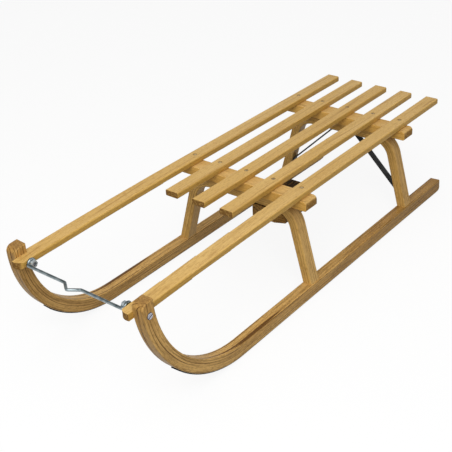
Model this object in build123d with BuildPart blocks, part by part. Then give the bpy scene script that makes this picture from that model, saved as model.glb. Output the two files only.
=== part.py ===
"""Davos type wooden sled: five slats on two trestles, bent runners with steels, a swinging pull bar.

Frame: millimetres, +Z up, the front of the sled points to -Y, +X is the rider's left.
The origin lies on the floor below the middle of the sled.
"""
from build123d import *
import math
import os

os.makedirs("parts", exist_ok=True)

# ---------------------------------------------------------------- driving dimensions
# seat
seat_height = 244.0          # floor to the top of the slats
slat_pitch = 71.0            # centre to centre across the sled
slat_width = 33.0
slat_thickness = 14.0
slat_length = 734.0          # the three short slats
rail_length = 1098.0         # the two outer slats, which run on to the horns
rail_drop = 8.0              # how far a rail's front end dips below the seat
pull_bar_overhang = 3.5      # point of the pull bar ahead of the rails
slat_round = 3.0             # rounding of the slats' long edges
slat_arris = 1.2             # edges of the slats' ends
nose_depth = 9.5             # how far a rail's rounded front end stands ahead of its corners
notch_swing = 10.0           # degrees of the horn's back, up and down, that the rail's notch follows

# wood screws through the slats
screw_setback = 9.0          # crossbar's centre line to the screws
screw_recess_diameter = 8.5
screw_recess_depth = 2.8

# trestles
front_trestle_y = -30.0
trestle_distance = 409.0
crossbar_overhang = 30.5     # rail's centre line to the crossbar's end
crossbar_width = 40.0
crossbar_thickness = 22.0
crossbar_top_round = 9.0     # rounding of the ends, seen from the front
crossbar_bottom_round = 4.5
crossbar_arris = 1.2
bow_thickness = 22.0
bow_width = 30.0
bow_setback = 1.5            # crossbar's centre line to the bow's
bow_inner_radius = 42.0
bow_arris = 3.0
leg_splay = 15.3             # degrees out of the vertical
foot_inset = 0.7             # runner's centre line to the leg's, at the runner's top

# runners
runner_outset = 32.5         # rail's centre line to the runner's at the floor
runner_lean = 3.5            # degrees, the horns lean towards each other
runner_width = 26.0
runner_depth = 28.0
bend_above_seat = 8.0        # the horn's bend takes its outer radius from the seat's height
runner_bend = 87.0           # degrees from the floor up to the horn
runner_front_setback = 10.0  # rail's end to the runner's
runner_rear_setback = 7.0
horn_rise = 14.0             # straight end of the horn above its bend
horn_front_round = 13.0
horn_rear_round = 8.0
heel_radius = 10.0           # rounding under the runner's rear end
heel_chamfer = 4.0           # and the cut corner above it
runner_arris = 2.0
steel_width = 20.0
steel_thickness = 2.5
steel_start_angle = 46.0     # degrees of bend that the steel covers
steel_setback = 12.0         # runner's rear end to the steel's

# rear brace
brace_width = 16.0
brace_thickness = 3.0
brace_top_half = 34.0
brace_foot_height = 73.5
brace_tab = 26.0
brace_bend = 12.0

# block under the front bow, on the left
block_inner_x = 33.0
block_width = 79.0
block_length = 137.0
block_height = 31.0
block_overhang = 2.5         # ahead of the bow
block_cut_width = 23.0       # cut outer corners, across the sled
block_front_cut = 10.0       # and along it
block_rear_cut = 31.0
block_arris = 1.5

# horn bolts and pull bar
bolt_setback = 15.4          # horn's front to the bolt's axis
bolt_diameter = 8.0
bolt_clearance = 0.1
head_diameter = 13.0
head_height = 2.5
head_round = 1.5
head_slot_width = 2.0
head_slot_depth = 1.2
head_slot_angle = 27.0       # degrees, the slot rises to the rear
spotface_depth = 1.0
spotface_clearance = 0.5
nut_width = 13.0
nut_height = 6.5
nut_recess = 1.0             # bolt's end below the nut's face
rod_diameter = 6.0
rod_clearance = 0.3          # beside the rail and the nut
eye_clearance = 0.06         # round the bolt
rod_bend_ratio = 0.65        # centre line radius of the rod's bends, in rod diameters
rod_lead = 0.1               # straight between the eye and the first bend
notch_half_width = 21.0
notch_depth = 16.0
notch_rise = 1.4             # the bar's point above the rest of the bar

# ---------------------------------------------------------------- derived places
lean = math.radians(runner_lean)
splay = math.radians(leg_splay)
rail_x = 2 * slat_pitch
track = 2 * (rail_x + runner_outset)
crossbar_length = 2 * (rail_x + crossbar_overhang)
rail_rear_y = (rail_length + pull_bar_overhang) / 2
rail_front_y = rail_rear_y - rail_length
slat_front_y = rail_rear_y - slat_length
rear_trestle_y = front_trestle_y + trestle_distance
trestles = (("front", front_trestle_y), ("rear", rear_trestle_y))
slat_bottom = seat_height - slat_thickness
crossbar_bottom = slat_bottom - crossbar_thickness
bow_bottom = crossbar_bottom - bow_thickness

runner_radius = seat_height + bend_above_seat
runner_front_y = rail_front_y + runner_front_setback
runner_rear_y = rail_rear_y - runner_rear_setback
runner_lift = steel_width / 2 * math.sin(lean)   # the steel's inner edge touches the floor
runner_top = steel_thickness + runner_depth
bend_radius = runner_radius + steel_thickness    # with the steel on
bend_y = runner_front_y + runner_radius
bend_height = bend_radius
steel_rear_y = runner_rear_y - steel_setback

rail_front_top = seat_height - rail_drop
dip_start_y = front_trestle_y - crossbar_width / 2
bolt_y = runner_front_y + bolt_setback
bolt_z = rail_front_top - slat_thickness / 2
rail_inner_x = rail_x - slat_width / 2
rail_outer_x = rail_x + slat_width / 2
eye_x = rail_inner_x - rod_clearance - rod_diameter / 2
eye_radius = bolt_diameter / 2 + eye_clearance + rod_diameter / 2
rod_bend = rod_bend_ratio * rod_diameter
rod_y = bolt_y - eye_radius - rod_lead - rod_bend
nut_x = eye_x - rod_diameter / 2 - rod_clearance - nut_height

LEFT_RUNNER = Plane(
    origin=(track / 2, 0, runner_lift),
    x_dir=(0, 1, 0),
    z_dir=(math.cos(lean), 0, math.sin(lean)),
)
RIGHT_RUNNER = Plane(
    origin=(-track / 2, 0, runner_lift),
    x_dir=(0, 1, 0),
    z_dir=(math.cos(lean), 0, -math.sin(lean)),
)


def save(part, name):
    """Label a finished piece and write it as parts/name.step."""
    part.label = name
    export_step(part, f"parts/{name}.step")


def runner_x(height, offset=0.0):
    """World x of the left runner's plane at a height, offset outwards along its normal."""
    along = (height - runner_lift - offset * math.sin(lean)) / math.cos(lean)
    return track / 2 - along * math.sin(lean) + offset * math.cos(lean)


def leg_outer_x(height):
    """Outer face of a left leg's straight part at a height."""
    foot_x = runner_x(runner_top) - foot_inset + bow_thickness / 2 / math.cos(splay)
    return foot_x - (height - runner_top) * math.tan(splay)


def leg_inner_x(height):
    """Inner face of a left leg's straight part at a height."""
    return leg_outer_x(height) - bow_thickness / math.cos(splay)


def screw_recesses(x):
    """Countersinks for the wood screws in one slat, one over each crossbar."""
    depth = screw_recess_depth
    radius = screw_recess_diameter / 2
    hanging = (Align.CENTER, Align.CENTER, Align.MAX)
    for _, y in trestles:
        with Locations((x, y + screw_setback, seat_height)):
            Cone(radius - depth, radius, depth, align=hanging, mode=Mode.SUBTRACT)


head_seat_x = runner_x(bolt_z, runner_width / 2) - spotface_depth


# ---------------------------------------------------------------- short slats
def short_slat(x):
    """A straight seat slat with rounded long edges, sawn square at its ends."""
    with BuildPart() as slat:
        with BuildSketch(Plane.XZ.offset(-rail_rear_y)):
            with Locations((x, seat_height - slat_thickness / 2)):
                RectangleRounded(slat_width, slat_thickness, slat_round)
        extrude(amount=slat_length)
        fillet(slat.faces().filter_by(Axis.Y).edges(), radius=slat_arris)
        screw_recesses(x)
    return slat.part


save(short_slat(slat_pitch), "slat_left")
save(short_slat(0), "slat_middle")
save(short_slat(-slat_pitch), "slat_right")


# ---------------------------------------------------------------- rails
with BuildPart() as left_rail:
    with BuildSketch(Plane.YZ.offset(rail_inner_x)):
        with BuildLine():
            dip = TangentArc((dip_start_y, seat_height), (rail_front_y, rail_front_top), tangent=(-1, 0))
            nose = Line(dip @ 1, dip @ 1 - (0, slat_thickness))
            under = TangentArc((dip_start_y, slat_bottom), nose @ 1, tangent=(-1, 0))
            Polyline(under @ 0, (rail_rear_y, slat_bottom), (rail_rear_y, seat_height), dip @ 0)
        make_face()
    extrude(amount=slat_width)
    sides = left_rail.faces().filter_by(Axis.X)
    fillet(sides.edges().filter_by(Axis.Z, reverse=True), radius=slat_round)
    # plan outline with the rounded front end
    with BuildSketch():
        with BuildLine():
            corner_y = rail_front_y + nose_depth
            ThreePointArc((rail_inner_x, corner_y), (rail_x, rail_front_y), (rail_outer_x, corner_y))
            Polyline(
                (rail_outer_x, corner_y),
                (rail_outer_x, rail_rear_y),
                (rail_inner_x, rail_rear_y),
                (rail_inner_x, corner_y),
            )
        make_face()
    extrude(amount=seat_height, mode=Mode.INTERSECT)
    # notch for the horn: everything outside the horn's inner face and ahead of its back
    with BuildSketch(LEFT_RUNNER.offset(-runner_width / 2)):
        with BuildLine():
            back_radius = runner_radius - runner_depth
            back = CenterArc((bend_y, bend_height), back_radius, 180 - notch_swing, 2 * notch_swing)
            clear_y = rail_front_y - runner_depth
            Polyline(back @ 0, (clear_y, (back @ 0).Y), (clear_y, (back @ 1).Y), back @ 1)
        make_face()
    extrude(amount=2 * slat_width, mode=Mode.SUBTRACT)
    with BuildSketch(Plane.YZ.offset(rail_inner_x)):
        with Locations((bolt_y, bolt_z)):
            Circle(bolt_diameter / 2 + bolt_clearance)
    extrude(amount=slat_width, mode=Mode.SUBTRACT)
    screw_recesses(rail_x)

save(left_rail.part, "left_rail")
save(mirror(left_rail.part, about=Plane.YZ), "right_rail")


# ---------------------------------------------------------------- trestles
def crossbar(y):
    """The flat bar that carries the slats, with rounded ends."""
    with BuildPart() as bar:
        with BuildSketch(Plane.XZ.offset(-y - crossbar_width / 2)):
            with Locations((0, crossbar_bottom + crossbar_thickness / 2)):
                Rectangle(crossbar_length, crossbar_thickness)
            top = vertices().group_by(Axis.Y)[-1]
            fillet(top, radius=crossbar_top_round)
            bottom = vertices().group_by(Axis.Y)[0]
            fillet(bottom, radius=crossbar_bottom_round)
        extrude(amount=crossbar_width)
        fillet(bar.faces().filter_by(Axis.Y).edges(), radius=crossbar_arris)
    return bar.part


def bow(y):
    """A steam bent stick: the top lies under the crossbar, both ends are the splayed legs."""
    with BuildPart() as arch:
        with BuildSketch(Plane.XZ.offset(-y - bow_width / 2)):
            with BuildLine():
                FilletPolyline(
                    (-leg_outer_x(0), 0),
                    (-leg_outer_x(crossbar_bottom), crossbar_bottom),
                    (leg_outer_x(crossbar_bottom), crossbar_bottom),
                    (leg_outer_x(0), 0),
                    radius=bow_inner_radius + bow_thickness,
                )
                offset(amount=bow_thickness, side=Side.RIGHT, closed=True)
            make_face()
        extrude(amount=bow_width)
        rims = arch.faces().filter_by(Axis.Y).edges()
        fillet(rims.filter_by(lambda edge: edge.center().Z > 0), radius=bow_arris)
        # the feet stand on the leaning tops of the runners
        for plane in (LEFT_RUNNER, RIGHT_RUNNER):
            with BuildSketch(plane):
                with Locations((y, 0)):
                    Rectangle(2 * bow_width, 2 * runner_top)
            extrude(amount=2 * runner_width, both=True, mode=Mode.SUBTRACT)
    return arch.part


for place, y in trestles:
    save(crossbar(y), f"{place}_crossbar")
    save(bow(y + bow_setback), f"{place}_bow")


# ---------------------------------------------------------------- runners
def bend_arc(radius):
    """One line of the horn's bend, from the horn down to the flat of the runner."""
    return CenterArc((bend_y, bend_height), radius, 270 - runner_bend, runner_bend)


with BuildPart() as left_runner:
    with BuildSketch(LEFT_RUNNER):
        with BuildLine():
            outer = bend_arc(runner_radius)
            inner = bend_arc(runner_radius - runner_depth)
            front = PolarLine(outer @ 0, horn_rise, 180 - runner_bend)
            back = PolarLine(inner @ 0, horn_rise, 180 - runner_bend)
            Line(front @ 1, back @ 1)
            Polyline(
                outer @ 1,
                (runner_rear_y, steel_thickness),
                (runner_rear_y, runner_top),
                inner @ 1,
            )
        make_face()
        horn_front, horn_back = vertices().sort_by(Axis.Y)[-2:].sort_by(Axis.X)
        fillet(horn_front, radius=horn_front_round)
        fillet(horn_back, radius=horn_rear_round)
        heel = vertices().group_by(Axis.X)[-1].sort_by(Axis.Y)
        fillet(heel[0], radius=heel_radius)
        chamfer(heel[1], length=heel_chamfer)
    extrude(amount=runner_width / 2, both=True)
    across = left_runner.faces().sort_by(Axis(LEFT_RUNNER.origin, LEFT_RUNNER.z_dir))
    fillet(across[0].edges() + across[-1].edges(), radius=runner_arris)
    with BuildSketch(Plane.YZ):
        with Locations((bolt_y, bolt_z)):
            Circle(bolt_diameter / 2 + bolt_clearance)
    extrude(amount=track, mode=Mode.SUBTRACT)
    # flat seat for the bolt's head, square to the bolt
    with BuildSketch(Plane.YZ.offset(head_seat_x)):
        with Locations((bolt_y, bolt_z)):
            Circle(head_diameter / 2 + spotface_clearance)
    extrude(amount=track, mode=Mode.SUBTRACT)

save(left_runner.part, "left_runner")
save(mirror(left_runner.part, about=Plane.YZ), "right_runner")

with BuildPart() as left_steel:
    with BuildSketch(LEFT_RUNNER):
        with BuildLine():
            start = 270 - steel_start_angle
            outer = CenterArc((bend_y, bend_height), bend_radius, start, steel_start_angle)
            inner = CenterArc((bend_y, bend_height), runner_radius, start, steel_start_angle)
            Line(outer @ 0, inner @ 0)
            Polyline(outer @ 1, (steel_rear_y, 0), (steel_rear_y, steel_thickness), inner @ 1)
        make_face()
    extrude(amount=steel_width / 2, both=True)

save(left_steel.part, "left_runner_steel")
save(mirror(left_steel.part, about=Plane.YZ), "right_runner_steel")


# ---------------------------------------------------------------- rear brace
with BuildPart() as rear_brace:
    foot_x = leg_inner_x(brace_foot_height)
    tab_height = brace_foot_height - brace_tab
    tab_x = leg_inner_x(tab_height)
    with BuildSketch(Plane.XZ.offset(-rear_trestle_y - bow_setback - brace_width / 2)):
        with BuildLine():
            FilletPolyline(
                (-tab_x, tab_height),
                (-foot_x, brace_foot_height),
                (-brace_top_half, bow_bottom),
                (brace_top_half, bow_bottom),
                (foot_x, brace_foot_height),
                (tab_x, tab_height),
                radius=brace_bend,
            )
            offset(amount=brace_thickness, side=Side.RIGHT, closed=True)
        make_face()
    extrude(amount=brace_width)

save(rear_brace.part, "rear_brace")


# ---------------------------------------------------------------- block under the front bow
with BuildPart() as front_block:
    block_outer_x = block_inner_x + block_width
    block_front_y = front_trestle_y + bow_setback - bow_width / 2 - block_overhang
    block_rear_y = block_front_y + block_length
    with BuildSketch(Plane.XY.offset(bow_bottom)):
        with BuildLine():
            Polyline(
                (block_inner_x, block_front_y),
                (block_outer_x - block_cut_width, block_front_y),
                (block_outer_x, block_front_y + block_front_cut),
                (block_outer_x, block_rear_y - block_rear_cut),
                (block_outer_x - block_cut_width, block_rear_y),
                (block_inner_x, block_rear_y),
                close=True,
            )
        make_face()
    extrude(amount=-block_height)
    chamfer(front_block.faces().sort_by(Axis.Z)[0].edges(), length=block_arris)
    # the top follows the inside of the bow's bend
    bend_run = (bow_inner_radius + bow_thickness) * math.tan((math.pi / 2 - splay) / 2)
    bow_bend_x = leg_outer_x(crossbar_bottom) - bend_run
    with BuildSketch(Plane.XZ.offset(-block_rear_y)):
        with Locations((bow_bend_x, bow_bottom - bow_inner_radius)):
            Rectangle(bow_inner_radius, bow_inner_radius, align=Align.MIN)
            Circle(bow_inner_radius, mode=Mode.SUBTRACT)
    extrude(amount=block_length, mode=Mode.SUBTRACT)

save(front_block.part, "front_block")


# ---------------------------------------------------------------- horn bolts
with BuildPart() as left_bolt:
    bolt_end_x = nut_x + nut_recess
    with BuildSketch(Plane.YZ.offset(bolt_end_x)):
        with Locations((bolt_y, bolt_z)):
            Circle(bolt_diameter / 2)
    extrude(amount=head_seat_x - bolt_end_x)
    with BuildSketch(Plane.YZ.offset(head_seat_x)):
        with Locations((bolt_y, bolt_z)):
            Circle(head_diameter / 2)
    extrude(amount=head_height)
    fillet(left_bolt.edges().group_by(Axis.X)[-1], radius=head_round)
    with BuildSketch(Plane.YZ.offset(head_seat_x + head_height)):
        with Locations((bolt_y, bolt_z)):
            Rectangle(2 * head_diameter, head_slot_width, rotation=head_slot_angle)
    extrude(amount=-head_slot_depth, mode=Mode.SUBTRACT)

save(left_bolt.part, "left_horn_bolt")
save(mirror(left_bolt.part, about=Plane.YZ), "right_horn_bolt")

with BuildPart() as left_nut:
    with BuildSketch(Plane.YZ.offset(nut_x)):
        with Locations((bolt_y, bolt_z)):
            RegularPolygon(nut_width / 2, 6, major_radius=False)
            Circle(bolt_diameter / 2, mode=Mode.SUBTRACT)
    extrude(amount=nut_height)

save(left_nut.part, "left_horn_nut")
save(mirror(left_nut.part, about=Plane.YZ), "right_horn_nut")


# ---------------------------------------------------------------- pull bar
with BuildPart() as pull_bar:
    eye_front_y = bolt_y - eye_radius
    with BuildLine():
        FilletPolyline(
            (-eye_x, eye_front_y, bolt_z),
            (-eye_x, rod_y, bolt_z),
            (-notch_half_width, rod_y, bolt_z),
            (0, rod_y - notch_depth, bolt_z + notch_rise),
            (notch_half_width, rod_y, bolt_z),
            (eye_x, rod_y, bolt_z),
            (eye_x, eye_front_y, bolt_z),
            radius=rod_bend,
        )
    with BuildSketch(Plane(origin=(-eye_x, eye_front_y, bolt_z), z_dir=(0, -1, 0))):
        Circle(rod_diameter / 2)
    sweep()
    for side in (-1, 1):
        with BuildSketch(Plane(origin=(side * eye_x, bolt_y, bolt_z), x_dir=(0, 1, 0), z_dir=(0, 0, 1))):
            with Locations((eye_radius, 0)):
                Circle(rod_diameter / 2)
        revolve(axis=Axis((side * eye_x, bolt_y, bolt_z), (1, 0, 0)))

save(pull_bar.part, "pull_bar")
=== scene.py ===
import math

import bpy
import numpy as np
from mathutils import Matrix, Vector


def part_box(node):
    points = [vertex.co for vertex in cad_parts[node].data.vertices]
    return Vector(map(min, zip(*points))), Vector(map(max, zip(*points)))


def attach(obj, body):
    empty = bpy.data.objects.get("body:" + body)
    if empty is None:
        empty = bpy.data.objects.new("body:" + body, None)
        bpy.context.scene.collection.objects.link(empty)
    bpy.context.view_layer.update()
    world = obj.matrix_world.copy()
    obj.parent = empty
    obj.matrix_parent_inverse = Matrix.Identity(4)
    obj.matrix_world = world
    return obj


# Wooden sled. Metres, +Z up, the front of the sled points to -Y, +X is the rider's left.
# Each new shape is a surface worked out with numpy, and each pattern reads Object coordinates.

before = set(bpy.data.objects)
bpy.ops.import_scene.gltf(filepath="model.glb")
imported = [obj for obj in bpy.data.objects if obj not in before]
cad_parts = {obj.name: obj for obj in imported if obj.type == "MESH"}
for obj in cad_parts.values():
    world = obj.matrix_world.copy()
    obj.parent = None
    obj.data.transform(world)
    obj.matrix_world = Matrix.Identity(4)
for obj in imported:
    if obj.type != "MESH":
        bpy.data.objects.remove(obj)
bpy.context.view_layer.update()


# ---------------------------------------------------------------- places, from the frame
def middle(node):
    """Centre of a node's box."""
    low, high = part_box(node)
    return (low + high) / 2


SCREW_SETBACK = 0.009             # the seat's screws sit this far behind a crossbar's middle
seat_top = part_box("slat_middle")[1].z
slat_xs = [middle(n).x for n in ("right_rail", "slat_right", "slat_middle", "slat_left", "left_rail")]
screw_ys = [middle(n).y + SCREW_SETBACK for n in ("front_crossbar", "rear_crossbar")]
SLAT_PITCH = slat_xs[3] - slat_xs[2]
runner_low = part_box("left_runner")[0]
bow_low, bow_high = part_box("rear_bow")

LEAN = math.radians(3.5)          # the horns lean towards each other
STEEL_THICKNESS = 0.0025
BEND_RADIUS = 0.2545              # the runner's bend, with its steel
BEND_SWEEP = math.radians(87)
BEND_Y = runner_low.y + BEND_RADIUS - STEEL_THICKNESS
BEND_Z = BEND_RADIUS
BOW_RADIUS = 0.064                # outside of a bow's shoulder
LEG_SPLAY = math.radians(15.3)

# Stretches over which a finish or painted shade sets in or, round a screw, dies out.
SCREW_RECESS = (0.0041, 0.0054)   # end grain and painted shade, out from a screw's axis
HORN_TOP = (0.244, 0.254)         # end grain, up the horn
HEEL = (0.52, 0.53)               # end grain, back along the runner
REAR = (-0.1, 0.5)                # deeper tone, back along the runner
BLOCK_TOP = (0.17, 0.18)          # near black, up the block
SLOT_SHADE_RAMP = (0.0005, 0.001)        # painted shade, into a bolt's slot and down its head's sides


# ---------------------------------------------------------------- shader nodes
def put(tree, kind, inputs=(), **settings):
    """Add a node. inputs pairs socket names with values, or with the sockets that feed them."""
    node = tree.nodes.new(kind)
    for key, value in settings.items():
        setattr(node, key, value)
    for key, value in dict(inputs).items():
        socket = node.inputs[key]
        if isinstance(value, bpy.types.NodeSocket):
            tree.links.new(value, socket)
        else:
            socket.default_value = value
    return node


def sums(tree, operation, a, b=0.0, c=0.0, clamp=False):
    """Output of a Math node."""
    node = put(tree, "ShaderNodeMath", {0: a, 1: b, 2: c}, operation=operation, use_clamp=clamp)
    return node.outputs[0]


def blend_colours(tree, factor, a, b, mode="MIX"):
    """Output of a Mix node on two colours."""
    node = put(tree, "ShaderNodeMix", {0: factor, 6: a, 7: b}, data_type="RGBA", blend_type=mode)
    return node.outputs[2]


def ramp(tree, value, low, high):
    """Smooth step from 0 at low to 1 at high."""
    node = put(
        tree, "ShaderNodeMapRange",
        {"Value": value, "From Min": low, "From Max": high},
        interpolation_type="SMOOTHSTEP",
    )
    return node.outputs[0]


def noise(tree, vector, scale, detail=2.0, roughness=0.5, distortion=0.0):
    """Fac of a noise texture."""
    node = put(
        tree, "ShaderNodeTexNoise",
        {"Vector": vector, "Scale": scale, "Detail": detail, "Roughness": roughness,
         "Distortion": distortion},
    )
    return node.outputs["Fac"]


def new_group(name, inputs, outputs):
    """A shader node group with named sockets, and its inner input and output nodes."""
    tree = bpy.data.node_groups.new(name, "ShaderNodeTree")
    for key, (kind, value) in inputs.items():
        socket = tree.interface.new_socket(key, in_out="INPUT", socket_type="NodeSocket" + kind)
        if value is not None:
            socket.default_value = value
    for key, kind in outputs.items():
        tree.interface.new_socket(key, in_out="OUTPUT", socket_type="NodeSocket" + kind)
    inside = tree.nodes.new("NodeGroupInput").outputs
    outside = tree.nodes.new("NodeGroupOutput").inputs
    return tree, inside, outside


def use_group(tree, group, inputs):
    """Outputs of a placed node group."""
    return put(tree, "ShaderNodeGroup", inputs, node_tree=group).outputs


def bend_group():
    """Unrolls a bent stick: how far along it a point lies, and how deep across its layers.

    Run is measured from the bend's centre towards the bend, Rise from the centre outwards.
    The angle atan2(Run, Rise), held between 0 and Sweep, turns both onto the stick's own axes:
    Depth is Run times its sine plus Rise times its cosine, and Along is Run times its cosine less
    Rise times its sine, plus Radius times the angle.
    """
    tree, given, result = new_group(
        "bent stick",
        {"Run": ("Float", 0.0), "Rise": ("Float", 0.0), "Sweep": ("Float", 1.5), "Radius": ("Float", 0.1)},
        {"Along": "Float", "Depth": "Float"},
    )
    angle = sums(tree, "ARCTAN2", given["Run"], given["Rise"])
    angle = sums(tree, "MAXIMUM", sums(tree, "MINIMUM", angle, given["Sweep"]), 0.0)
    sine = sums(tree, "SINE", angle)
    cosine = sums(tree, "COSINE", angle)
    depth = sums(tree, "MULTIPLY_ADD", given["Run"], sine, sums(tree, "MULTIPLY", given["Rise"], cosine))
    along = sums(tree, "SUBTRACT", sums(tree, "MULTIPLY", given["Run"], cosine),
                 sums(tree, "MULTIPLY", given["Rise"], sine))
    along = sums(tree, "MULTIPLY_ADD", given["Radius"], angle, along)
    tree.links.new(along, result["Along"])
    tree.links.new(depth, result["Depth"])
    return tree


RING_SLANT = 0.3                  # share of Across that tilts the growth lines
RING_WANDER = 0.024               # how far a growth line wanders in all
STREAK_SHADE, FIBRE_SHADE, RING_SHADE, FLECK_SHADE = 0.6, 0.3, 1.3, 0.4
PORE_SHADE, END_RING_SHADE, WORN_AND_HIGHLIT_SHARE = 0.6, 0.45, 0.5
STREAK_RELIEF, FIBRE_RELIEF, RING_RELIEF, PORE_RELIEF = 0.5, 0.5, -0.6, 0.8
LACQUER_ROUGHNESS, FIBRE_ROUGHNESS, END_ROUGHNESS = 0.36, 0.16, 0.25


def wood_group():
    """Lacquered beech: slow drifts of tone, growth lines along the stick, fine fibres and short flecks.

    Every pattern is noise on coordinates that are stretched along the stick, so it runs with the
    grain. Growth lines are the crests of a sine, one for each line pitch of the depth plus a share
    of Across plus a slow noise, and a second noise lets each line swell and fade. Side, End and
    Edge are masks of 0 to 1: sides take a painted shade tint, sawn ends go brown with open pores,
    and edges pale as worn lacquer and painted highlight.
    """
    tree, given, result = new_group(
        "beech",
        {
            "Across": ("Float", 0.0), "Depth": ("Float", 0.0), "Along": ("Float", 0.0),
            "Side": ("Float", 0.0), "End": ("Float", 0.0), "Edge": ("Float", 0.0),
            "Pale": ("Color", (0.6, 0.4, 0.2, 1)), "Deep": ("Color", (0.4, 0.25, 0.1, 1)),
            "Line": ("Color", (0.2, 0.1, 0.04, 1)), "End grain": ("Color", (0.2, 0.12, 0.05, 1)),
            "Painted shade tint": ("Color", (0.8, 0.7, 0.5, 1)),
            "Line strength": ("Float", 0.5), "Line pitch": ("Float", 0.004),
        },
        {"Color": "Color", "Roughness": "Float", "Height": "Float"},
    )

    def stretched(share):
        """The position with only that share of its length along the stick."""
        along = sums(tree, "MULTIPLY", given["Along"], share)
        node = put(tree, "ShaderNodeCombineXYZ", {0: given["Across"], 1: given["Depth"], 2: along})
        return node.outputs[0]

    drift = noise(tree, stretched(0.12), scale=22.0, roughness=0.55)
    fibre = noise(tree, stretched(0.05), scale=1300.0, detail=3.0, roughness=0.65)
    streak = noise(tree, stretched(0.03), scale=330.0, detail=3.0, roughness=0.6, distortion=0.3)
    wobble = noise(tree, stretched(0.05), scale=26.0)
    swell = noise(tree, stretched(0.03), scale=95.0)
    slanted = sums(tree, "MULTIPLY_ADD", given["Across"], RING_SLANT, given["Depth"])
    ring_place = sums(tree, "MULTIPLY_ADD", sums(tree, "SUBTRACT", wobble, 0.5), RING_WANDER, slanted)
    ring_turn = sums(tree, "DIVIDE", sums(tree, "MULTIPLY", ring_place, 2 * math.pi), given["Line pitch"])
    ring = ramp(tree, sums(tree, "SINE", ring_turn), 0.7, 1.0)
    ring = sums(tree, "MULTIPLY", ring, ramp(tree, swell, 0.36, 0.66))
    fleck = ramp(tree, noise(tree, stretched(0.22), scale=430.0, roughness=0.7), 0.5, 0.66)

    tone = ramp(tree, drift, 0.32, 0.68)
    base = blend_colours(tree, tone, given["Deep"], given["Pale"])
    grain = sums(tree, "MULTIPLY_ADD", ramp(tree, streak, 0.4, 0.7), STREAK_SHADE,
                 sums(tree, "MULTIPLY", ramp(tree, fibre, 0.42, 0.7), FIBRE_SHADE))
    lines = sums(tree, "MULTIPLY_ADD", ring, RING_SHADE, grain)
    lines = sums(tree, "MULTIPLY", lines, given["Line strength"], clamp=True)
    base = blend_colours(tree, lines, base, given["Line"])
    base = blend_colours(tree, sums(tree, "MULTIPLY", fleck, FLECK_SHADE), base, given["Line"])
    # painted shade: the faces that the Side mask picks take the shade tint
    tinted = blend_colours(tree, 1.0, base, given["Painted shade tint"], "MULTIPLY")
    base = blend_colours(tree, given["Side"], base, tinted)
    # worn lacquer and painted highlight: rounded edges pale towards the Pale colour
    worn_and_highlit_edge = sums(tree, "MULTIPLY", given["Edge"], ramp(tree, streak, 0.3, 0.7))
    base = blend_colours(tree, sums(tree, "MULTIPLY", worn_and_highlit_edge, WORN_AND_HIGHLIT_SHARE), base, given["Pale"])
    pores = noise(tree, stretched(1.0), scale=1500.0, roughness=0.6)
    rings = noise(tree, stretched(0.3), scale=260.0)
    cut = blend_colours(tree, sums(tree, "MULTIPLY", ramp(tree, pores, 0.4, 0.7), PORE_SHADE),
                        given["End grain"], given["Line"])
    cut = blend_colours(tree, sums(tree, "MULTIPLY", ramp(tree, rings, 0.45, 0.7), END_RING_SHADE),
                        cut, given["Deep"])
    base = blend_colours(tree, given["End"], base, cut)
    tree.links.new(base, result["Color"])
    rough = sums(tree, "MULTIPLY_ADD", fibre, FIBRE_ROUGHNESS, LACQUER_ROUGHNESS)
    rough = sums(tree, "MULTIPLY_ADD", given["End"], END_ROUGHNESS, rough)
    tree.links.new(rough, result["Roughness"])
    height = sums(tree, "MULTIPLY_ADD", streak, STREAK_RELIEF,
                  sums(tree, "MULTIPLY", fibre, FIBRE_RELIEF))
    height = sums(tree, "MULTIPLY_ADD", ring, RING_RELIEF, height)
    height = sums(tree, "MULTIPLY_ADD", sums(tree, "MULTIPLY", pores, given["End"]), PORE_RELIEF, height)
    tree.links.new(height, result["Height"])
    return tree


SPECK_SHADE, SPECK_RELIEF = 0.5, 0.6
FINE_ROUGHNESS, PAINTED_SHADE_ROUGHNESS = 0.12, 0.25
PAINTED_SHADE_BASE, PAINTED_SHADE_CLOUD = 0.7, 0.3     # painted shade that is always there, and what the cloud adds to it


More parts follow.
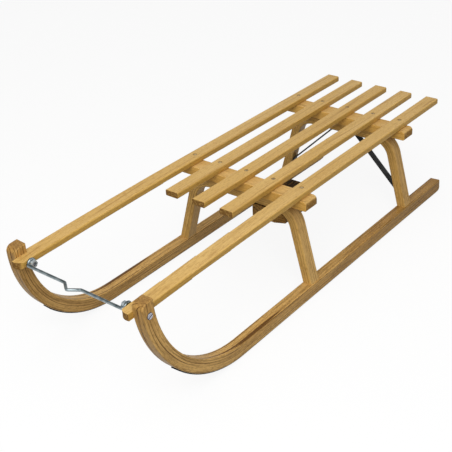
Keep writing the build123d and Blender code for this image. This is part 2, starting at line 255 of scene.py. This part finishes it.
def metal_group():
    """Handled metal: cloudy dulling with fine scratches, specks where the coat is thin, and painted shade.

    The painted shade mask is 0 to 1 and broken up by the same cloud. It darkens and roughens where a
    material paints shade.
    """
    tree, given, result = new_group(
        "handled metal",
        {
            "Position": ("Vector", None), "Painted shade mask": ("Float", 0.0),
            "Bright": ("Color", (0.6, 0.6, 0.6, 1)), "Dull": ("Color", (0.4, 0.4, 0.4, 1)),
            "Speck": ("Color", (0.2, 0.2, 0.2, 1)), "Painted shade colour": ("Color", (0.05, 0.05, 0.05, 1)),
            "Smooth": ("Float", 0.25), "Dulled": ("Float", 0.45),
        },
        {"Color": "Color", "Roughness": "Float", "Height": "Float"},
    )
    cloud = ramp(tree, noise(tree, given["Position"], scale=60.0, detail=4.0, roughness=0.6), 0.35, 0.7)
    fine = noise(tree, given["Position"], scale=1400.0, roughness=0.6)
    speck = ramp(tree, noise(tree, given["Position"], scale=520.0), 0.66, 0.74)
    shade = blend_colours(tree, cloud, given["Bright"], given["Dull"])
    shade = blend_colours(tree, sums(tree, "MULTIPLY", speck, SPECK_SHADE), shade, given["Speck"])
    # painted shade: the mask, broken up by the cloud, darkens towards the painted shade colour
    painted_shade_amount = sums(tree, "MULTIPLY", given["Painted shade mask"],
                sums(tree, "MULTIPLY_ADD", cloud, PAINTED_SHADE_CLOUD, PAINTED_SHADE_BASE))
    shade = blend_colours(tree, painted_shade_amount, shade, given["Painted shade colour"])
    tree.links.new(shade, result["Color"])
    span = sums(tree, "SUBTRACT", given["Dulled"], given["Smooth"])
    rough = sums(tree, "MULTIPLY_ADD", span, cloud, given["Smooth"])
    rough = sums(tree, "MULTIPLY_ADD", sums(tree, "SUBTRACT", fine, 0.5), FINE_ROUGHNESS, rough)
    rough = sums(tree, "MULTIPLY_ADD", painted_shade_amount, PAINTED_SHADE_ROUGHNESS, rough)
    tree.links.new(rough, result["Roughness"])
    tree.links.new(sums(tree, "MULTIPLY_ADD", speck, SPECK_RELIEF, fine), result["Height"])
    return tree


BEND = bend_group()
BEECH = wood_group()
METAL = metal_group()


# ---------------------------------------------------------------- materials
def colour(red, green, blue):
    """Linear colour from sRGB values of 0 to 255."""
    srgb = np.array([red, green, blue]) / 255
    linear = np.where(srgb <= 0.04045, srgb / 12.92, ((srgb + 0.055) / 1.055) ** 2.4)
    return (*linear.tolist(), 1.0)


def new_material(name):
    """A material, its tree, its coordinates, the object position's axes and the normal's sizes.

    The sizes along X, Y and Z say how squarely a face looks along each of them.
    """
    material = bpy.data.materials.new(name)
    material.use_nodes = True
    tree = material.node_tree
    given = tree.nodes.new("ShaderNodeTexCoord").outputs
    axes = put(tree, "ShaderNodeSeparateXYZ", {0: given["Object"]}).outputs
    size = put(tree, "ShaderNodeVectorMath", {0: given["Normal"]}, operation="ABSOLUTE").outputs[0]
    facing = put(tree, "ShaderNodeSeparateXYZ", {0: size}).outputs
    return material, tree, given, axes, facing


def finish_surface(tree, effect, bump, distance):
    """Feed a group's colour, roughness and height to the surface, which is returned."""
    surface = tree.nodes["Principled BSDF"]
    tree.links.new(effect["Color"], surface.inputs["Base Color"])
    tree.links.new(effect["Roughness"], surface.inputs["Roughness"])
    bump_node = put(tree, "ShaderNodeBump",
                    {"Height": effect["Height"], "Strength": bump, "Distance": distance})
    tree.links.new(bump_node.outputs[0], surface.inputs["Normal"])
    return surface


def wood_material(name, grain, pale, deep, line, end, painted_side_shade, strength, pitch=0.006):
    """Lacquered beech. grain(tree, axes, facing) gives the beech group's six position and mask sockets."""
    material, tree, _, axes, facing = new_material(name)
    inputs = {"Pale": pale, "Deep": deep, "Line": line, "End grain": end, "Painted shade tint": painted_side_shade,
              "Line strength": strength, "Line pitch": pitch}
    inputs.update(zip(("Across", "Depth", "Along", "Side", "End", "Edge"), grain(tree, axes, facing)))
    surface = finish_surface(tree, use_group(tree, BEECH, inputs), bump=0.4, distance=0.0002)
    surface.inputs["Specular IOR Level"].default_value = 0.12
    surface.inputs["Coat Weight"].default_value = 0.02
    surface.inputs["Coat Roughness"].default_value = 0.3
    return material


def between(tree, a, b):
    """1 where a face looks halfway between two axes, as a rounded edge does, and 0 on both flats."""
    return ramp(tree, sums(tree, "MULTIPLY", a, b), 0.18, 0.45)


SLAT_SHIFT = 1.37                 # along the wood, from one slat's grain to the next
LEG_SHIFT = 0.5                   # the same for a bow's legs, either way from its middle
SIDE_FACE = (0.4, 0.9)            # how squarely a face looks sideways as the painted side shade sets in
HORN_TOP_SHARE = 0.7              # of end grain on the horn's top
FORE_AND_AFT_SHADE_SHARE = 0.4          # of the painted shade on faces that look forwards or back


def lengthwise(tree, axes, facing):
    """Grain of the slats and rails, along Y. Each slat starts at its own place in the wood.

    End grain shows on the ends; in the screws' recesses it is end grain and painted shade. The
    recesses lie near the slat's middle line and the nearer row of screws: the distance is the root
    of the two offsets' squares.
    """
    number = sums(tree, "ROUND", sums(tree, "DIVIDE", axes[0], SLAT_PITCH))
    along = sums(tree, "MULTIPLY_ADD", number, SLAT_SHIFT, axes[1])
    # painted shade on faces that look sideways
    painted_side_shade = ramp(tree, facing[0], *SIDE_FACE)
    off_line = sums(tree, "MULTIPLY_ADD", number, -SLAT_PITCH, axes[0])
    off_rows = [sums(tree, "ABSOLUTE", sums(tree, "SUBTRACT", axes[1], y)) for y in screw_ys]
    off_row = sums(tree, "MINIMUM", *off_rows)
    off_line, off_row = [sums(tree, "MULTIPLY", off, off) for off in (off_line, off_row)]
    far = ramp(tree, sums(tree, "SQRT", sums(tree, "ADD", off_line, off_row)), *SCREW_RECESS)
    # end grain and painted shade in the screws' recesses
    recess_grain_and_shade = sums(tree, "MULTIPLY", sums(tree, "SUBTRACT", 1.0, far), ramp(tree, facing[2], 0.1, 0.3))
    ends = sums(tree, "MAXIMUM", ramp(tree, facing[1], 0.6, 0.85), recess_grain_and_shade)
    return axes[0], axes[2], along, painted_side_shade, ends, between(tree, facing[0], facing[2])


def crosswise(tree, axes, facing):
    """Grain of the crossbars, along X."""
    # painted shade on faces that look forwards or back
    painted_side_shade = ramp(tree, facing[1], *SIDE_FACE)
    ends = ramp(tree, facing[0], 0.75, 0.95)
    return axes[1], axes[2], axes[0], painted_side_shade, ends, between(tree, facing[1], facing[2])


def along_runner(tree, axes, facing):
    """Grain that follows a runner up into its horn. Its ends are the horn's top and the heel.

    Across is the distance from the sled's middle plus the height times the lean's tangent. A
    darker tone comes in towards the rear, and a weaker painted shade on faces that look forwards or back.
    """
    run = sums(tree, "SUBTRACT", BEND_Y, axes[1])
    rise = sums(tree, "SUBTRACT", BEND_Z, axes[2])
    stick = use_group(tree, BEND, {"Run": run, "Rise": rise, "Sweep": BEND_SWEEP, "Radius": BEND_RADIUS})
    across = sums(tree, "MULTIPLY_ADD", axes[2], math.tan(LEAN), sums(tree, "ABSOLUTE", axes[0]))
    top = sums(tree, "MULTIPLY", ramp(tree, facing[2], 0.5, 1.0), ramp(tree, axes[2], *HORN_TOP))
    top = sums(tree, "MULTIPLY", top, HORN_TOP_SHARE)
    heel = sums(tree, "MULTIPLY", ramp(tree, facing[1], 0.5, 0.8), ramp(tree, axes[1], *HEEL))
    ends = sums(tree, "ADD", top, heel, clamp=True)
    flat = sums(tree, "SUBTRACT", 1.0, facing[0])
    rear = ramp(tree, axes[1], *REAR)
    # painted shade on faces that look forwards or back
    fore_and_aft_shade = sums(tree, "MULTIPLY", ramp(tree, facing[1], 0.2, 0.8), FORE_AND_AFT_SHADE_SHARE)
    darker_rear_and_painted_shade = sums(tree, "MAXIMUM", rear, fore_and_aft_shade)
    return across, stick["Depth"], stick["Along"], darker_rear_and_painted_shade, ends, between(tree, facing[0], flat)


def along_bow(tree, axes, facing):
    """Grain that follows a bow over its shoulders and down its legs.

    The shoulder's centre lies one radius below the bow's top. It is as far in from the leg's foot
    as the leg's splay takes it at that height, and one radius over the splay's cosine more.
    """
    shoulder_z = bow_high.z - BOW_RADIUS
    sweep = math.pi / 2 - LEG_SPLAY
    centre_x = (bow_high.x - (shoulder_z - bow_low.z) * math.tan(LEG_SPLAY)
                - BOW_RADIUS / math.cos(LEG_SPLAY))
    run = sums(tree, "SUBTRACT", sums(tree, "ABSOLUTE", axes[0]), centre_x)
    rise = sums(tree, "SUBTRACT", axes[2], shoulder_z)
    stick = use_group(tree, BEND, {"Run": run, "Rise": rise, "Sweep": sweep, "Radius": BOW_RADIUS})
    along = sums(tree, "MULTIPLY_ADD", sums(tree, "SIGN", axes[0]), LEG_SHIFT, stick["Along"])
    flat = sums(tree, "SUBTRACT", 1.0, facing[1])
    edge = between(tree, facing[1], flat)
    # painted shade on faces that look forwards or back
    painted_side_shade = ramp(tree, facing[1], *SIDE_FACE)
    return axes[1], stick["Depth"], along, painted_side_shade, 0.0, edge


def block_grain(tree, axes, facing):
    """Grain of the block, along Y. Its top, up inside the bow, takes the near black end colour."""
    top = sums(tree, "MULTIPLY", ramp(tree, facing[2], 0.5, 0.8), ramp(tree, axes[2], *BLOCK_TOP))
    return axes[0], axes[2], axes[1], 0.0, top, between(tree, facing[0], facing[2])


PAINTED_SHADE_COLOUR = colour(44, 52, 54)
SLOT_SHADE = 0.95


def metal_material(name, bright, dull, speck, smooth, dulled,
                   metallic=1.0, bump=0.1, top_shade=0.0, head_top_x=None):
    """Plated or blacked steel. The top shade amount paints shade on faces that look straight up.

    With a head top distance, what lies within half a millimetre of that distance from the sled's
    middle stays bright instead, and painted shade fills what lies a millimetre in or more, so a
    bolt's head is bright and its slot and sides are painted dark.
    """
    material, tree, given, axes, facing = new_material(name)
    if head_top_x is None:
        painted_shade_mask = sums(tree, "MULTIPLY", ramp(tree, facing[2], 0.45, 0.85), top_shade)
    else:
        depth = sums(tree, "SUBTRACT", head_top_x, sums(tree, "ABSOLUTE", axes[0]))
        painted_shade_mask = sums(tree, "MULTIPLY", ramp(tree, depth, *SLOT_SHADE_RAMP), SLOT_SHADE)
    effect = use_group(tree, METAL, {
        "Position": given["Object"], "Bright": bright, "Dull": dull, "Speck": speck, "Smooth": smooth,
        "Dulled": dulled, "Painted shade colour": PAINTED_SHADE_COLOUR, "Painted shade mask": painted_shade_mask,
    })
    surface = finish_surface(tree, effect, bump, distance=0.00005)
    surface.inputs["Metallic"].default_value = metallic
    surface.inputs["Specular IOR Level"].default_value = 0.25
    return material


# Each side tint is painted shade on the faces that the grain's side mask picks; the crossbars' tint warms
# their front and back faces as painted light.
SLAT_WOOD = wood_material(
    "slat beech", lengthwise, pale=colour(215, 178, 110), deep=colour(207, 168, 97),
    line=colour(150, 106, 46), end=colour(112, 80, 38), painted_side_shade=(0.92, 0.86, 0.61, 1.0), strength=0.38)
CROSSBAR_WOOD = wood_material(
    "crossbar beech", crosswise, pale=colour(220, 181, 114), deep=colour(209, 168, 99),
    line=colour(150, 108, 50), end=colour(138, 102, 50), painted_side_shade=(1.08, 1.0, 0.72, 1.0), strength=0.34)
BOW_WOOD = wood_material(
    "bow beech", along_bow, pale=colour(218, 178, 110), deep=colour(205, 163, 96),
    line=colour(126, 88, 40), end=colour(118, 88, 46), painted_side_shade=(1.0, 0.98, 0.84, 1.0),
    strength=0.55, pitch=0.005)
RUNNER_WOOD = wood_material(
    "runner beech", along_runner, pale=colour(221, 178, 107), deep=colour(201, 155, 86),
    line=colour(102, 68, 28), end=colour(128, 94, 50), painted_side_shade=(0.68, 0.62, 0.48, 1.0),
    strength=0.85, pitch=0.0049)
BLOCK_WOOD = wood_material(
    "dark-topped block", block_grain, pale=colour(186, 142, 72), deep=colour(150, 110, 52),
    line=colour(58, 38, 15), end=colour(32, 23, 9), painted_side_shade=(1.0, 1.0, 1.0, 1.0),
    strength=0.8, pitch=0.008)
BLACK_STEEL = metal_material(
    "black steel", bright=colour(20, 22, 22), dull=colour(13, 14, 14), speck=colour(46, 45, 42),
    smooth=0.42, dulled=0.6, metallic=0.0)
# The rod takes painted shade on its upward faces.
ROD_ZINC = metal_material(
    "rod zinc", bright=colour(156, 166, 169), dull=colour(112, 123, 126), speck=colour(92, 96, 94),
    smooth=0.16, dulled=0.34, top_shade=0.9)
# The nuts take painted shade on their upward faces.
NUT_ZINC = metal_material(
    "nut zinc", bright=colour(194, 202, 204), dull=colour(150, 160, 163), speck=colour(104, 108, 106),
    smooth=0.14, dulled=0.3, top_shade=0.4)
# The bolts' slots and head sides take painted shade.
BOLT_ZINC = metal_material(
    "bolt zinc", bright=colour(182, 182, 192), dull=colour(140, 142, 150), speck=colour(96, 98, 100),
    smooth=0.18, dulled=0.36, head_top_x=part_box("left_horn_bolt")[1].x)
SCREW_STEEL = metal_material(
    "screw steel", bright=colour(172, 154, 116), dull=colour(122, 100, 66), speck=colour(60, 50, 36),
    smooth=0.2, dulled=0.4, bump=0.2)

NODE_MATERIALS = {
    SLAT_WOOD: ("left_rail", "right_rail", "slat_left", "slat_middle", "slat_right"),
    CROSSBAR_WOOD: ("front_crossbar", "rear_crossbar"),
    BOW_WOOD: ("front_bow", "rear_bow"),
    RUNNER_WOOD: ("left_runner", "right_runner"),
    BLOCK_WOOD: ("front_block",),
    BLACK_STEEL: ("left_runner_steel", "right_runner_steel", "rear_brace"),
    ROD_ZINC: ("pull_bar",),
    NUT_ZINC: ("left_horn_nut", "right_horn_nut"),
    BOLT_ZINC: ("left_horn_bolt", "right_horn_bolt"),
}
for material, names in NODE_MATERIALS.items():
    for name in names:
        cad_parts[name].data.materials.clear()
        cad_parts[name].data.materials.append(material)


# ---------------------------------------------------------------- seat screws
MILLIMETRE = 0.001
HEAD_PROFILE = np.array([         # radius and drop in millimetres, from the top's middle outwards
    (0.15, 0), (0.4, 0), (0.7, 0), (1.0, 0), (1.4, 0), (1.8, 0), (2.2, 0), (2.6, 0), (3.1, 0), (3.55, 0),
    (3.7, 0.12), (3.62, 0.3), (2.6, 1.3), (1.6, 2.25), (0.8, 2.25)])
HEAD_CORNERS = 48
SLOT_DEPTH = 0.0011
SLOT_EDGE, SLOT_WALL = 0.0006, 0.0003     # half width at the top, and how much of it is wall
SLOT_REACH, SLOT_RUNOUT = 0.0024, 0.0004  # length from the axis, and how much of it is run out
SCREW_SINK = 0.0006                       # the heads lie this far below the seat
FIRST_TURN, NEXT_TURN = 0.4, 1.9          # of the cross slots, in radians


def screw_head(turn):
    """Surface of a countersunk head with a cross slot, as rings of points about its own axis.

    Radius and drop follow a profile: from the flat top out to its rim, down a 45 degree cone and
    in under it. The slot sinks the flat top by its depth times a smooth step of a share. The share
    is 1 up to 0.3 mm from the nearer slot line and falls evenly to 0 at 0.6 mm, times 1 up to
    2.0 mm from the axis, falling evenly to 0 at 2.4 mm.
    """
    angle = np.linspace(0, 2 * np.pi, HEAD_CORNERS, endpoint=False)
    radius, drop = HEAD_PROFILE[:, :1] * MILLIMETRE, HEAD_PROFILE[:, 1:] * MILLIMETRE
    x, y = radius * np.cos(angle), radius * np.sin(angle)
    line = np.minimum(np.abs(x * math.cos(turn) + y * math.sin(turn)),
                      np.abs(y * math.cos(turn) - x * math.sin(turn)))
    share = (np.clip((SLOT_EDGE - line) / SLOT_WALL, 0, 1)
             * np.clip((SLOT_REACH - radius) / SLOT_RUNOUT, 0, 1))
    depth = drop + SLOT_DEPTH * share * share * (3 - 2 * share) * (drop == 0)
    return np.stack([x, y, -depth], axis=-1)


def add_screws():
    """A head sunk in each recess of the seat. Each is turned by the same step from the last one.

    A quad joins each pair of neighbours on one ring to the same pair on the next, and a flat face
    closes the first ring and the last.
    """
    places = [(x, y) for y in screw_ys for x in slat_xs]
    rings, corners = screw_head(0).shape[:2]
    points, faces = [], []
    i, j = np.meshgrid(np.arange(rings - 1), np.arange(corners), indexing="ij")
    here, there = i * corners + j, i * corners + (j + 1) % corners
    quads = np.stack([here, here + corners, there + corners, there], axis=-1).reshape(-1, 4)
    for number, (x, y) in enumerate(places):
        turned = screw_head(FIRST_TURN + NEXT_TURN * number)
        head = turned.reshape(-1, 3) + (x, y, seat_top - SCREW_SINK)
        start = number * len(head)
        points.append(head)
        faces += (quads + start).tolist()
        faces.append(list(range(start, start + corners)))
        faces.append(list(range(start + len(head) - corners, start + len(head)))[::-1])
    mesh = bpy.data.meshes.new("seat_screws")
    mesh.from_pydata(np.concatenate(points).tolist(), [], faces)
    mesh.update()
    screws = bpy.data.objects.new("seat_screws", mesh)
    bpy.context.scene.collection.objects.link(screws)
    mesh.materials.append(SCREW_STEEL)
    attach(screws, "sled")


add_screws()


# ---------------------------------------------------------------- camera, light and floor
def add_camera():
    """The viewing angle: from the front and the rider's left, above the seat."""
    data = bpy.data.cameras.new("camera")
    data.lens = 73.0
    data.shift_x = 0.0071
    data.shift_y = 0.0240
    camera = bpy.data.objects.new("camera", data)
    camera.location = (1.071, -1.409, 1.122)
    camera.rotation_euler = [math.radians(a) for a in (59.276, 2.322, 38.127)]
    bpy.context.scene.collection.objects.link(camera)
    bpy.context.scene.camera = camera


def add_lamp(name, place, aim, size, watts):
    """A square area lamp at place that shines at aim."""
    data = bpy.data.lights.new(name, "AREA")
    data.shape = "SQUARE"
    data.size = size
    data.energy = watts
    lamp = bpy.data.objects.new(name, data)
    lamp.location = place
    direction = np.array(aim, float) - np.array(place, float)
    flat = math.hypot(direction[0], direction[1])
    lamp.rotation_euler = (math.atan2(flat, -direction[2]), 0, math.atan2(-direction[0], direction[1]))
    bpy.context.scene.collection.objects.link(lamp)


def seen_or_mirrored(tree):
    """1 for a camera, glossy or transmission ray, and 0 for the rays that carry light."""
    rays = tree.nodes.new("ShaderNodeLightPath").outputs
    seen = sums(tree, "ADD", rays["Is Camera Ray"], rays["Is Glossy Ray"], clamp=True)
    return sums(tree, "ADD", seen, rays["Is Transmission Ray"], clamp=True)


def add_world(strength):
    """Even pale light, and white where it is seen."""
    world = bpy.data.worlds.new("studio")
    bpy.context.scene.world = world
    world.use_nodes = True
    tree = world.node_tree
    shine = tree.nodes["Background"]
    shine.inputs["Color"].default_value = (1.0, 1.0, 1.0, 1)
    seen = seen_or_mirrored(tree)
    level = sums(tree, "MULTIPLY_ADD", seen, 1.0 - strength, strength)
    tree.links.new(level, shine.inputs["Strength"])


FLOOR_HALF = 12.0
FLOOR_GREY = (0.25, 0.25, 0.25, 1)        # for the light that it throws back
FLOOR_PALE = (0.95, 0.95, 0.95, 1)        # as it is seen
FLOOR_WHITE_SHARE = 0.88                  # plain white in what is seen


def add_floor():
    """A pale floor that keeps the sled's shadow and lifts to white where it is seen."""
    corners = [(x * FLOOR_HALF, y * FLOOR_HALF, 0) for x, y in ((-1, -1), (1, -1), (1, 1), (-1, 1))]
    mesh = bpy.data.meshes.new("floor")
    mesh.from_pydata(corners, [], [(0, 1, 2, 3)])
    floor = bpy.data.objects.new("floor", mesh)
    bpy.context.scene.collection.objects.link(floor)
    material = bpy.data.materials.new("floor")
    material.use_nodes = True
    tree = material.node_tree
    surface = tree.nodes["Principled BSDF"]
    seen = seen_or_mirrored(tree)
    tree.links.new(blend_colours(tree, seen, FLOOR_GREY, FLOOR_PALE), surface.inputs["Base Color"])
    surface.inputs["Roughness"].default_value = 0.9
    surface.inputs["Specular IOR Level"].default_value = 0.1
    glow = put(tree, "ShaderNodeEmission", {"Color": (1, 1, 1, 1), "Strength": 1.0})
    share = sums(tree, "MULTIPLY", seen, FLOOR_WHITE_SHARE)
    mixed = put(tree, "ShaderNodeMixShader", {0: share, 1: surface.outputs[0], 2: glow.outputs[0]})
    tree.links.new(mixed.outputs[0], tree.nodes["Material Output"].inputs["Surface"])
    mesh.materials.append(material)


SLED_MIDDLE = (0, 0, 0.1)

add_camera()
add_world(strength=0.42)
add_floor()
add_lamp("overhead", place=(-0.2, -0.6, 2.4), aim=SLED_MIDDLE, size=2.0, watts=11)
add_lamp("key", place=(1.23, -1.83, 2.21), aim=SLED_MIDDLE, size=2.0, watts=58)

bpy.context.scene.view_settings.view_transform = "Standard"
